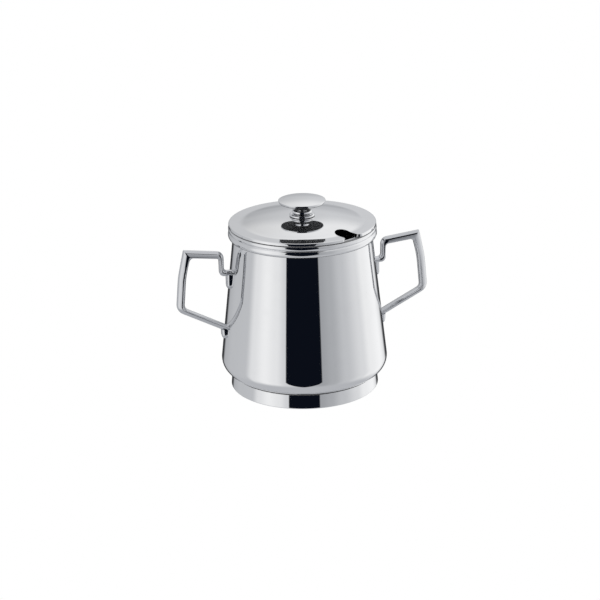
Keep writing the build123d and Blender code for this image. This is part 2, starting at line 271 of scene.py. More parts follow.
def arc(start, through, end):
    """Corners of the arc from start to end by way of a third point, end left out."""
    (ax, ay), (bx, by), (cx, cy) = start, through, end
    twice = 2 * (ax * (by - cy) + bx * (cy - ay) + cx * (ay - by))
    a2 = ax * ax + ay * ay
    b2 = bx * bx + by * by
    c2 = cx * cx + cy * cy
    centre = Vector(((a2 * (by - cy) + b2 * (cy - ay) + c2 * (ay - by)) / twice,
                     (a2 * (cx - bx) + b2 * (ax - cx) + c2 * (bx - ax)) / twice))
    radius = (Vector(start) - centre).length
    first = math.atan2(ay - centre.y, ax - centre.x)
    sweep = math.atan2(cy - centre.y, cx - centre.x) - first
    middle = math.atan2(by - centre.y, bx - centre.x) - first
    sweep %= math.tau
    if middle % math.tau > sweep:
        sweep -= math.tau
    steps = math.ceil(max(abs(sweep) / ARC_STEP, radius * abs(sweep) / LONGEST_STEP))
    return [(centre.x + radius * math.cos(first + sweep * i / steps),
             centre.y + radius * math.sin(first + sweep * i / steps), 0) for i in range(steps)]


def rounded_corner(before, corner, after, rounding, steps=0):
    """Points of the arc that rounds a corner, in so many steps or as ARC_STEP asks."""
    if not rounding:
        return [corner]
    back = (before - corner).normalized()
    ahead = (after - corner).normalized()
    half = back.angle(ahead) / 2
    reach = rounding / math.tan(half)
    middle = corner + (back + ahead).normalized() * (rounding / math.sin(half))
    first = corner + back * reach - middle
    sweep = math.pi - 2 * half
    if back.x * ahead.y - back.y * ahead.x > 0:
        sweep = -sweep
    steps = steps or max(3, math.ceil(abs(sweep) / ARC_STEP))
    return [middle + Matrix.Rotation(sweep * i / steps, 2) @ first for i in range(steps + 1)]


def outline(*corners, closed=True):
    """Points along an outline from corners of radius, height and rounding."""
    spots = [Vector(corner[:2]) for corner in corners]
    points = []
    for i, corner in enumerate(corners):
        inner = closed or 0 < i < len(corners) - 1
        rounding = corner[2] if inner else 0
        points += rounded_corner(
            spots[i - 1], spots[i], spots[(i + 1) % len(spots)], rounding)
    if closed:
        points.append(points[0].copy())
    return stepped(points)


def stepped(points):
    """Divides long straight stretches, with a short step beside each bend."""
    made = [points[0]]
    for start, end in zip(points, points[1:]):
        along = (end - start).length
        if along > LONGEST_STEP * 1.01:
            inside = along - 2 * GUARD_STEP
            steps = math.ceil(inside / LONGEST_STEP)
            places = [GUARD_STEP + inside * i / steps for i in range(steps + 1)]
            made += [start.lerp(end, place / along) for place in places]
        made.append(end)
    return made


# Geometry Nodes that turn an outline into a solid


def add_node(tree, kind, place, **values):
    """A node of a tree, at a place in units of 200, with its settings."""
    node = tree.nodes.new(kind)
    node.location = (200 * place[0], -200 * place[1])
    for key, value in values.items():
        setattr(node, key, value)
    return node


def maths(tree, operation, place, first, second=None, third=None):
    """A Math node fed by sockets or numbers. Returns its output."""
    node = add_node(tree, "ShaderNodeMath", place, operation=operation)
    for socket, value in zip(node.inputs, (first, second, third)):
        if isinstance(value, bpy.types.NodeSocket):
            tree.links.new(value, socket)
        elif value is not None:
            socket.default_value = value
    return node.outputs[0]


def turned_piece_tree():
    """Node group that turns the points of an outline about Z."""
    name = "turned piece"
    if name in bpy.data.node_groups:
        return bpy.data.node_groups[name]
    tree = bpy.data.node_groups.new(name, "GeometryNodeTree")
    tree.is_modifier = True
    face = tree.interface
    face.new_socket("Geometry", in_out="INPUT", socket_type="NodeSocketGeometry")
    segments = face.new_socket("Segments", in_out="INPUT", socket_type="NodeSocketInt")
    segments.default_value = 360
    join = face.new_socket("Join Distance", in_out="INPUT", socket_type="NodeSocketFloat")
    join.default_value = JOIN_DISTANCE
    crease = face.new_socket("Crease Angle", in_out="INPUT", socket_type="NodeSocketFloat")
    crease.default_value = SHARP_EDGE
    face.new_socket("Finish", in_out="INPUT", socket_type="NodeSocketMaterial")
    face.new_socket("Geometry", in_out="OUTPUT", socket_type="NodeSocketGeometry")
    link = tree.links.new

    given = add_node(tree, "NodeGroupInput", (0, 0))
    amount = add_node(tree, "GeometryNodeAttributeDomainSize", (1, 1), component="MESH")
    link(given.outputs["Geometry"], amount.inputs["Geometry"])
    columns = maths(tree, "ADD", (1, 0), given.outputs["Segments"], 1)
    grid = add_node(tree, "GeometryNodeMeshGrid", (2, 0))
    link(amount.outputs["Point Count"], grid.inputs["Vertices X"])
    link(columns, grid.inputs["Vertices Y"])

    index = add_node(tree, "GeometryNodeInputIndex", (0, 2)).outputs[0]
    step = maths(tree, "MODULO", (2, 2), index, columns)
    place = maths(tree, "FLOOR", (3, 1), maths(tree, "DIVIDE", (2, 1), index, columns))
    spot = add_node(tree, "GeometryNodeInputPosition", (0, 3))
    sample = add_node(tree, "GeometryNodeSampleIndex", (4, 1), data_type="FLOAT_VECTOR")
    link(given.outputs["Geometry"], sample.inputs["Geometry"])
    link(spot.outputs[0], sample.inputs["Value"])
    link(place, sample.inputs["Index"])
    parts = add_node(tree, "ShaderNodeSeparateXYZ", (5, 1))
    link(sample.outputs["Value"], parts.inputs[0])
    share_round = maths(tree, "DIVIDE", (3, 3), step, given.outputs["Segments"])
    angle = maths(tree, "MULTIPLY", (4, 3), share_round, math.tau)
    across = maths(tree, "MULTIPLY", (6, 2), parts.outputs["X"],
                   maths(tree, "COSINE", (5, 2), angle))
    deep = maths(tree, "MULTIPLY", (6, 3), parts.outputs["X"],
                 maths(tree, "SINE", (5, 3), angle))
    place_3d = add_node(tree, "ShaderNodeCombineXYZ", (7, 2))
    link(across, place_3d.inputs["X"])
    link(deep, place_3d.inputs["Y"])
    link(parts.outputs["Y"], place_3d.inputs["Z"])

    move = add_node(tree, "GeometryNodeSetPosition", (8, 0))
    link(grid.outputs["Mesh"], move.inputs["Geometry"])
    link(place_3d.outputs[0], move.inputs["Position"])
    merge = add_node(tree, "GeometryNodeMergeByDistance", (9, 0))
    link(move.outputs[0], merge.inputs["Geometry"])
    link(given.outputs["Join Distance"], merge.inputs["Distance"])
    smooth = add_node(tree, "GeometryNodeSetShadeSmooth", (10, 0), domain="FACE")
    link(merge.outputs[0], smooth.inputs["Geometry"])
    bend = add_node(tree, "GeometryNodeInputMeshEdgeAngle", (9, 2))
    gentle = add_node(tree, "FunctionNodeCompare", (10, 2), operation="LESS_THAN")
    link(bend.outputs["Unsigned Angle"], gentle.inputs["A"])
    link(given.outputs["Crease Angle"], gentle.inputs["B"])
    edges = add_node(tree, "GeometryNodeSetShadeSmooth", (11, 0), domain="EDGE")
    link(smooth.outputs[0], edges.inputs["Geometry"])
    link(gentle.outputs[0], edges.inputs["Shade Smooth"])
    real = add_node(tree, "GeometryNodeRealizeInstances", (12, 0))
    link(edges.outputs[0], real.inputs["Geometry"])
    finish = add_node(tree, "GeometryNodeSetMaterial", (13, 0))
    link(real.outputs[0], finish.inputs["Geometry"])
    link(given.outputs["Finish"], finish.inputs["Material"])
    shown = add_node(tree, "NodeGroupOutput", (14, 0))
    link(finish.outputs[0], shown.inputs[0])
    return tree


def set_input(modifier, name, value):
    """Sets a Geometry Nodes input by its socket's identifier."""
    for socket in modifier.node_group.interface.items_tree:
        if socket.in_out == "INPUT" and socket.name == name:
            modifier[socket.identifier] = value
            return
    raise RuntimeError(f"the node group has no input named {name}")


def as_plain_mesh(piece):
    """Puts the evaluated mesh in place of the piece's own and drops its modifiers."""
    bpy.context.view_layer.update()
    shape = piece.evaluated_get(bpy.context.evaluated_depsgraph_get())
    mesh = bpy.data.meshes.new_from_object(shape)
    piece.modifiers.clear()
    piece.data = mesh
    mesh.name = piece.name
    return piece


def faces_outwards(piece):
    """Joins doubled points and makes every face point outwards."""
    work = bmesh.new()
    work.from_mesh(piece.data)
    bmesh.ops.remove_doubles(work, verts=work.verts, dist=JOIN_DISTANCE)
    bmesh.ops.dissolve_degenerate(work, edges=work.edges, dist=JOIN_DISTANCE / 10)
    bmesh.ops.recalc_face_normals(work, faces=work.faces)
    work.to_mesh(piece.data)
    work.free()
    return piece


def new_piece(name, points, edges=(), faces=()):
    """An object at the origin from points, edges and faces."""
    mesh = bpy.data.meshes.new(name)
    mesh.from_pydata(points, edges, faces)
    piece = bpy.data.objects.new(name, mesh)
    bpy.context.scene.collection.objects.link(piece)
    return piece


def turned(name, points, finish):
    """A solid of revolution from the points of its outline."""
    flat = [(point.x, point.y, 0) for point in points]
    chain = [(i, i + 1) for i in range(len(flat) - 1)]
    piece = new_piece(name, flat, chain)
    modifier = piece.modifiers.new("turned", "NODES")
    modifier.node_group = turned_piece_tree()
    set_input(modifier, "Segments", bpy.context.scene.pot_studio.segments)
    set_input(modifier, "Finish", finish)
    return faces_outwards(as_plain_mesh(piece))


def seat_piece(piece, node, body):
    """Lets a piece stand for a part of the frame and ride on its body."""
    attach(piece, body)
    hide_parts(node)


# Finishes

SMUDGE_ROUGHNESS = 0.05     # roughness that a full smudge adds
SMUDGE_DARKENING = 0.05     # share of the colour that it takes
HAIRLINE_ROUGHNESS = 0.04   # roughness that a hairline adds
HAIRLINE_DEPTH = 0.02       # its depth, as a share of the bump's distance
SEAM_SHADE_ROUGHNESS = 0.55       # roughness that the painted shade in a seam adds
# Colour of the painted shade at seams: near black, for the shade and dark reflections there
SEAM_SHADE_COLOUR = (0.012, 0.013, 0.016, 1)
SEAM_SOCKETS = ("Seam One", "Seam Two")   # heights of a piece's seams, where shade is painted


def group_sockets(tree, inputs, outputs):
    """Named sockets of a shader node group, with the inputs' defaults."""
    for name, kind, default in inputs:
        socket = tree.interface.new_socket(name, in_out="INPUT", socket_type=kind)
        socket.default_value = default
    for name, kind in outputs:
        tree.interface.new_socket(name, in_out="OUTPUT", socket_type=kind)


def polish_marks_group():
    """What buffing and handling leave on steel: hairlines, smudges and faint waves."""
    name = "polish marks"
    if name in bpy.data.node_groups:
        return bpy.data.node_groups[name]
    tree = bpy.data.node_groups.new(name, "ShaderNodeTree")
    group_sockets(
        tree,
        [("Steel", "NodeSocketColor", (0.8, 0.8, 0.8, 1)),
         ("Polish", "NodeSocketFloat", 0.04),
         ("Smudges", "NodeSocketFloat", 0.5),
         ("Hairlines", "NodeSocketFloat", 0.5),
         ("Waves", "NodeSocketFloat", 0.5),
         ("Wave Size", "NodeSocketFloat", 180.0)],
        [("Color", "NodeSocketColor"),
         ("Roughness", "NodeSocketFloat"),
         ("Height", "NodeSocketFloat")])
    link = tree.links.new
    given = add_node(tree, "NodeGroupInput", (0, 0))
    place = add_node(tree, "ShaderNodeTexCoord", (0, 2)).outputs["Object"]

    smudge = add_node(tree, "ShaderNodeTexNoise", (1, 1))
    smudge.inputs["Scale"].default_value = 70
    smudge.inputs["Detail"].default_value = 5
    smudge.inputs["Roughness"].default_value = 0.6
    link(place, smudge.inputs["Vector"])
    smudged = add_node(tree, "ShaderNodeMapRange", (2, 1), interpolation_type="SMOOTHSTEP")
    smudged.inputs["From Min"].default_value = 0.48
    smudged.inputs["From Max"].default_value = 0.75
    link(smudge.outputs[0], smudged.inputs["Value"])
    smudge_and_seam_shade = maths(tree, "MULTIPLY", (3, 1), smudged.outputs[0], given.outputs["Smudges"])

    stretch = add_node(tree, "ShaderNodeMapping", (1, 2))
    stretch.inputs["Rotation"].default_value = (0.5, 0.3, 0.7)
    stretch.inputs["Scale"].default_value = (30, 4000, 260)
    link(place, stretch.inputs["Vector"])
    hair = add_node(tree, "ShaderNodeTexNoise", (2, 2))
    hair.inputs["Scale"].default_value = 1
    hair.inputs["Detail"].default_value = 2
    link(stretch.outputs[0], hair.inputs["Vector"])
    hairs = add_node(tree, "ShaderNodeMapRange", (3, 2))
    hairs.inputs["From Min"].default_value = 0.62
    hairs.inputs["From Max"].default_value = 0.8
    link(hair.outputs[0], hairs.inputs["Value"])
    lines = maths(tree, "MULTIPLY", (4, 2), hairs.outputs[0], given.outputs["Hairlines"])

    wave = add_node(tree, "ShaderNodeTexNoise", (2, 3))
    wave.inputs["Detail"].default_value = 1
    link(given.outputs["Wave Size"], wave.inputs["Scale"])
    link(place, wave.inputs["Vector"])
    waves = maths(tree, "MULTIPLY", (3, 3), wave.outputs[0], given.outputs["Waves"])

    dull = maths(tree, "MULTIPLY_ADD", (4, 1), smudge_and_seam_shade, SMUDGE_ROUGHNESS, given.outputs["Polish"])
    rough = maths(tree, "MULTIPLY_ADD", (5, 1), lines, HAIRLINE_ROUGHNESS, dull)
    shade = maths(tree, "MULTIPLY_ADD", (5, 0), smudge_and_seam_shade, -SMUDGE_DARKENING, 1.0)
    tint = add_node(tree, "ShaderNodeMix", (6, 0), data_type="RGBA", blend_type="MULTIPLY")
    tint.inputs["Factor"].default_value = 1
    link(given.outputs["Steel"], tint.inputs["A"])
    link(shade, tint.inputs["B"])
    height = maths(tree, "MULTIPLY_ADD", (5, 3), lines, -HAIRLINE_DEPTH, waves)

    shown = add_node(tree, "NodeGroupOutput", (7, 0))
    link(tint.outputs["Result"], shown.inputs["Color"])
    link(rough, shown.inputs["Roughness"])
    link(height, shown.inputs["Height"])
    return tree


def seam_shade_group():
    """Painted shade: dark, dull bands at seam heights, also over faces that lie at such a
    height.
    """
    name = "seam film"
    if name in bpy.data.node_groups:
        return bpy.data.node_groups[name]
    tree = bpy.data.node_groups.new(name, "ShaderNodeTree")
    group_sockets(
        tree,
        [("Color", "NodeSocketColor", (0.8, 0.8, 0.8, 1)),
         ("Roughness", "NodeSocketFloat", 0.04),
         *((seam, "NodeSocketFloat", -1.0) for seam in SEAM_SOCKETS),
         ("Seam Width", "NodeSocketFloat", 0.0003),
         ("Darkness", "NodeSocketFloat", 0.9)],
        [("Color", "NodeSocketColor"),
         ("Roughness", "NodeSocketFloat"),
         ("Metallic", "NodeSocketFloat")])
    link = tree.links.new
    given = add_node(tree, "NodeGroupInput", (0, 0))
    place = add_node(tree, "ShaderNodeTexCoord", (0, 2)).outputs["Object"]
    shade_edge_noise = add_node(tree, "ShaderNodeTexNoise", (1, 3))
    shade_edge_noise.inputs["Scale"].default_value = 900
    shade_edge_noise.inputs["Detail"].default_value = 3
    link(place, shade_edge_noise.inputs["Vector"])
    parts = add_node(tree, "ShaderNodeSeparateXYZ", (1, 2))
    link(place, parts.inputs[0])
    apart = []
    for row, seam in enumerate(SEAM_SOCKETS, 1):
        above = maths(tree, "SUBTRACT", (2, row), parts.outputs["Z"], given.outputs[seam])
        apart.append(maths(tree, "ABSOLUTE", (3, row), above))
    nearest = maths(tree, "MINIMUM", (4, 2), *apart)
    ragged = maths(tree, "MULTIPLY_ADD", (5, 3), shade_edge_noise.outputs[0], 0.5, 0.75)
    reach = maths(tree, "MULTIPLY", (6, 3), given.outputs["Seam Width"], ragged)
    smudge_and_seam_shade = add_node(tree, "ShaderNodeMapRange", (7, 2), interpolation_type="SMOOTHSTEP")
    link(maths(tree, "DIVIDE", (6, 2), nearest, reach), smudge_and_seam_shade.inputs["Value"])
    smudge_and_seam_shade.inputs["From Min"].default_value = 1.2
    smudge_and_seam_shade.inputs["From Max"].default_value = 0.8
    painted_shade = maths(tree, "MULTIPLY", (8, 2), smudge_and_seam_shade.outputs[0], given.outputs["Darkness"])
    # Painted shade: near each seam the steel is mixed towards near black, made dull and not
    # metallic
    tint = add_node(tree, "ShaderNodeMix", (9, 0), data_type="RGBA")
    link(painted_shade, tint.inputs["Factor"])
    link(given.outputs["Color"], tint.inputs["A"])
    tint.inputs["B"].default_value = SEAM_SHADE_COLOUR
    rough = maths(tree, "MULTIPLY_ADD", (9, 2), painted_shade, SEAM_SHADE_ROUGHNESS,
                  given.outputs["Roughness"])
    metal = maths(tree, "SUBTRACT", (9, 3), 1, painted_shade)
    shown = add_node(tree, "NodeGroupOutput", (10, 0))
    link(tint.outputs["Result"], shown.inputs["Color"])
    link(rough, shown.inputs["Roughness"])
    link(metal, shown.inputs["Metallic"])
    return tree


def steel_finish(name, steel, polish, smudges, hairlines, waves, wave_size, seams=(),
                 seam_width=0, darkness=0):
    """Mirror or plain steel with its polishing marks, and painted shade at up to two seams."""
    if name in bpy.data.materials:
        return bpy.data.materials[name]
    material = bpy.data.materials.new(name)
    material.use_nodes = True
    tree = material.node_tree
    shader = tree.nodes["Principled BSDF"]
    shader.inputs["Metallic"].default_value = 1
    marks = add_node(tree, "ShaderNodeGroup", (-3, 0), node_tree=polish_marks_group())
    marks.inputs["Steel"].default_value = (*steel, 1)
    marks.inputs["Polish"].default_value = polish
    marks.inputs["Smudges"].default_value = smudges
    marks.inputs["Hairlines"].default_value = hairlines
    marks.inputs["Waves"].default_value = waves
    marks.inputs["Wave Size"].default_value = wave_size
    bump = add_node(tree, "ShaderNodeBump", (-2, 2))
    bump.inputs["Strength"].default_value = 0.3
    bump.inputs["Distance"].default_value = 0.00002
    colour_from = marks
    # Painted shade: the seam group darkens colour, roughness and metalness near each seam's
    # height
    if seams:
        smudge_and_seam_shade = add_node(tree, "ShaderNodeGroup", (-2, 0), node_tree=seam_shade_group())
        for socket, height in zip(SEAM_SOCKETS, seams):
            smudge_and_seam_shade.inputs[socket].default_value = height
        smudge_and_seam_shade.inputs["Seam Width"].default_value = seam_width
        smudge_and_seam_shade.inputs["Darkness"].default_value = darkness
        tree.links.new(marks.outputs["Color"], smudge_and_seam_shade.inputs["Color"])
        tree.links.new(marks.outputs["Roughness"], smudge_and_seam_shade.inputs["Roughness"])
        tree.links.new(smudge_and_seam_shade.outputs["Metallic"], shader.inputs["Metallic"])
        colour_from = smudge_and_seam_shade
    tree.links.new(colour_from.outputs["Color"], shader.inputs["Base Color"])
    tree.links.new(colour_from.outputs["Roughness"], shader.inputs["Roughness"])
    tree.links.new(marks.outputs["Height"], bump.inputs["Height"])
    tree.links.new(bump.outputs["Normal"], shader.inputs["Normal"])
    return material


def bowl_seam_height():
    """Where the foot ring meets the bowl's turn."""
    sizes = bpy.context.scene.pot_bowl
    return BowlShape(sizes).turn_underside(sizes.foot_radius - sizes.foot_flare)


def bowl_finish():
    """Mirror-polished sheet of bowl and bottom."""
    look = bpy.context.scene.pot_finish
    seam = bowl_seam_height()
    # Painted shade at the seam where the foot ring meets the bowl's turn
    return steel_finish(
        "bowl mirror steel", look.steel, look.polish,
        smudges=0.5, hairlines=0.4, waves=0.3, wave_size=90,
        seams=(seam,), seam_width=0.0006, darkness=0.85)


def band_finish():
    """Polished moulding round the neck."""
    look = bpy.context.scene.pot_finish
    sizes = bpy.context.scene.pot_bowl
    groove = sizes.mouth - sizes.upper_bead
    # Painted shade along the band's top edge under the lid's hem and along its lower edge
    return steel_finish(
        "band mirror steel", look.steel, look.polish,
        smudges=0.3, hairlines=0.3, waves=0.1, wave_size=200,
        seams=(sizes.mouth, groove - sizes.lower_bead), seam_width=0.0003, darkness=0.7)


def foot_finish():
    """Polished ring of the foot."""
    look = bpy.context.scene.pot_finish
    # Painted shade at the seam where the foot ring meets the bowl's turn
    return steel_finish(
        "foot mirror steel", look.steel, look.polish,
        smudges=0.5, hairlines=0.6, waves=0.2, wave_size=150,
        seams=(bowl_seam_height(),), seam_width=0.0006, darkness=0.85)


def lid_finish():
    """Pressed and buffed sheet of the lid."""
    look = bpy.context.scene.pot_finish
    mouth = bpy.context.scene.pot_bowl.mouth
    # Painted shade at the mouth's height, along the hem's lower edge where it sits on the band
    return steel_finish(
        "lid mirror steel", look.steel, look.polish,
        smudges=0.6, hairlines=0.5, waves=1.0, wave_size=160,
        seams=(mouth,), seam_width=0.00035, darkness=0.8)


def knob_finish():
    """Turned and polished steel of the knob."""
    look = bpy.context.scene.pot_finish
    # Painted shade: the cap's underside, the stem's top under it and the collar's foot go near
    # black
    return steel_finish(
        "knob mirror steel", look.steel, look.polish,
        smudges=0.8, hairlines=0.5, waves=0.4, wave_size=300,
        seams=(foot_of("knob_cap").z, foot_of("knob_collar").z),
        seam_width=0.0003, darkness=0.95)


def handle_finish():
    """Cast steel, polished by hand."""
    look = bpy.context.scene.pot_finish
    return steel_finish(
        "cast polished steel", look.cast_steel, look.cast_polish,
        smudges=0.8, hairlines=0.7, waves=0.6, wave_size=350)


def screw_finish():
    """Plain steel of screw and washer."""
    look = bpy.context.scene.pot_finish
    return steel_finish(
        "plain screw steel", look.plain_steel, look.plain_polish,
        smudges=0.5, hairlines=1.0, waves=0.5, wave_size=900)


def finish_cad_node(node, material):
    """Gives a part of the frame its finish."""
    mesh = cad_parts[node].data
    mesh.materials.clear()
    mesh.materials.append(material)


# Outlines of the pot's own pieces


class BowlShape:
    """Sizes that follow from the bowl's properties."""

    def __init__(self, sizes):
        self.sizes = sizes
        self.turn_radius = sizes.belly_radius - sizes.belly_bend
        self.turn_height = sizes.underside + sizes.belly_bend
        self.shoulder = sizes.mouth - sizes.neck_height
        step = sizes.neck_radius - self.turn_radius
        drop = self.shoulder - self.turn_height
        self.lean = math.asin(sizes.belly_bend / math.hypot(step, drop)) - math.atan2(step, drop)

    def wall(self, height):
        """Outside of the sloping wall at a height."""
        return self.sizes.neck_radius + (self.shoulder - height) * math.tan(self.lean)

    def turn_underside(self, radius):
        """Height of the bowl's lower turn at a radius."""
        inside = self.sizes.belly_bend**2 - (radius - self.turn_radius)**2
        return self.turn_height - math.sqrt(inside)


def bowl_outline(shape):
    """Cross-section of the drawn wall."""
    s = shape.sizes
    shift = s.sheet / math.cos(shape.lean)
    inner_shoulder = shape.shoulder - (shift - s.sheet) / math.tan(shape.lean)
    inner_bottom = s.underside + s.sheet
    inner_neck = s.neck_radius - s.sheet
    return outline(
        (s.neck_radius, s.mouth, 0),
        (s.neck_radius, shape.shoulder, s.shoulder_bend),
        (shape.wall(s.underside), s.underside, s.belly_bend),
        (s.seam_radius, s.underside, 0),
        (s.seam_radius, inner_bottom, 0),
        (shape.wall(inner_bottom) - shift, inner_bottom, s.belly_bend - s.sheet),
        (inner_neck, inner_shoulder, s.shoulder_bend + s.sheet),
        (inner_neck, s.mouth, 0))


def bottom_outline(shape):
    """Half of the pressed disc's cross-section, from axis to axis."""
    s = shape.sizes
    low = s.underside
    slope_end = s.press_radius + s.press_height
    return outline(
        (0, low + s.press_height, 0),
        (s.press_radius, low + s.press_height, s.sheet),
        (slope_end, low, s.sheet),
        (s.seam_radius, low, 0),
        (s.seam_radius, low + s.sheet, 0),
        (slope_end, low + s.sheet, s.sheet),
        (s.press_radius, low + s.press_height + s.sheet, s.sheet),
        (0, low + s.press_height + s.sheet, 0), closed=False)


def band_outline(shape):
    """Cross-section of the rim band with its two beads."""
    s = shape.sizes
    face = s.neck_radius + s.band_thickness
    groove = s.mouth - s.upper_bead
    low = groove - s.lower_bead
    upper = ((face, s.mouth), (face + s.upper_bulge, (s.mouth + groove) / 2), (face, groove))
    lower = ((face, groove), (face + s.lower_bulge, (groove + low) / 2), (face, low))
    return outline(
        (s.neck_radius, shape.shoulder, 0), (s.neck_radius, s.mouth, 0),
        *arc(*upper), *arc(*lower), (face, low, 0))


def foot_outline(shape):
    """Cross-section of the foot ring, cut off where it meets the bowl's turn."""
    s = shape.sizes
    top_outside = s.foot_radius - s.foot_flare
    top_inside = top_outside - s.foot_sheet
    return outline(
        (top_outside, shape.turn_underside(top_outside), 0),
        (s.foot_radius, 0, s.foot_round),
        (s.foot_radius - s.foot_sheet, 0, s.foot_round / 2),
        (top_inside, shape.turn_underside(top_inside), 0))


def dome_line(lid, border_top, drop, hollow):
    """Points of the dome and its hollow down to the border, all lower by drop."""
    top = lid.top - drop
    low = border_top - drop
    width = lid.crease_radius - lid.seat_radius
    fall = top - low
    curve = (width**2 + fall**2) / (2 * fall)
    rise = curve + hollow - fall
    reach = math.sqrt((curve + hollow)**2 - rise**2)
    turned_by = math.asin(reach / (curve + hollow))
    border_start = lid.seat_radius + reach

    def on_dome(part):
        """A point on the dome, from its seat at 0 to the hollow at 1."""
        return (lid.seat_radius + curve * math.sin(turned_by * part),
                top - curve + curve * math.cos(turned_by * part))

    def on_hollow(part):
        """A point on the hollow, from the border at 0 to the dome at 1."""
        return (border_start - hollow * math.sin(turned_by * part),
                low + hollow - hollow * math.cos(turned_by * part))

    return [*arc(on_dome(0), on_dome(0.5), on_dome(1)),
            *arc(on_hollow(1), on_hollow(0.5), on_hollow(0)),
            (border_start, low, 0)]


def lid_outline(lid, mouth, bore):
    """Cross-section of the pressed lid: dome, soft crease, flat border and hem."""
    border_top = mouth + lid.border_height
    hem_inside = lid.radius - lid.hem_width
    upper = dome_line(lid, border_top, 0, lid.crease_round)
    under = dome_line(lid, border_top, lid.sheet, lid.crease_round + lid.sheet)
    return outline(
        (bore, lid.top, 0),
        *upper,
        (lid.radius, border_top, lid.hem_top_round),
        (lid.radius, mouth, lid.hem_low_round),
        (hem_inside, mouth, 0),
        (hem_inside, border_top - lid.sheet, 0),
        *reversed(under),
        (bore, lid.top - lid.sheet, 0))


def skirt_outline(lid, mouth):
    """Cross-section of the locating skirt."""
    low = foot_of("lid_skirt").z
    top = mouth + lid.border_height - lid.sheet
    inside = lid.skirt_radius - lid.skirt_sheet
    return outline(
        (lid.skirt_radius, low, lid.skirt_round),
        (lid.skirt_radius, top, 0),
        (inside, top, 0),
        (inside, low, lid.skirt_round))


def notch_cutter(lid):
    """What the spoon notch takes out of the lid."""
    half = lid.notch_width / 2
    reach = lid.radius - lid.notch_depth
    flared = half + lid.notch_corner
    opening = math.sqrt(lid.radius**2 - flared**2)
    start = opening - lid.notch_corner
    outside = lid.radius + lid.notch_corner
    curve = lid.notch_corner * math.cos(math.radians(45))
    end_arc = arc((reach, half), (reach - half, 0), (reach, -half))
    right = arc((start, -half), (start + curve, curve - flared), (opening, -flared))
    left = arc((opening, flared), (start + curve, flared - curve), (start, half))
    ring = [spot[:2] for spot in (
        *end_arc, (reach, -half), *right, (opening, -flared), (outside, -flared),
        (outside, flared), *left, (start, half))]
    low = foot_of("lid_skirt").z - lid.notch_corner
    points = [(x, y, z) for z in (low, lid.top + lid.notch_corner) for x, y in ring]
    size = len(ring)
    sides = [(i, (i + 1) % size, size + (i + 1) % size, size + i) for i in range(size)]
    caps = [tuple(range(size)), tuple(range(size, 2 * size))]
    cutter = new_piece("notch cutter", points, (), sides + caps)
    cutter.data.transform(Matrix.Rotation(lid.notch_angle, 4, "Z"))
    return faces_outwards(cutter)


def cut_notch(piece, cutter):
    """Takes the spoon notch out of a piece and keeps its cut edges crisp."""
    cut = piece.modifiers.new("notch", "BOOLEAN")
    cut.operation = "DIFFERENCE"
    cut.solver = "EXACT"
    cut.object = cutter
    as_plain_mesh(piece)
    faces_outwards(piece)
    piece.data.set_sharp_from_angle(angle=SHARP_EDGE)
    piece.data.materials.clear()
    piece.data.materials.append(lid_finish())
    return piece


# A bend of a handle: its edges and their roundings, the ridge between them as a share of
# the way inwards, the ridge's rounding, and the crown of the section
HandleCorner = namedtuple(
    "HandleCorner", "outer outer_round inner inner_round ridge ridge_round crown")


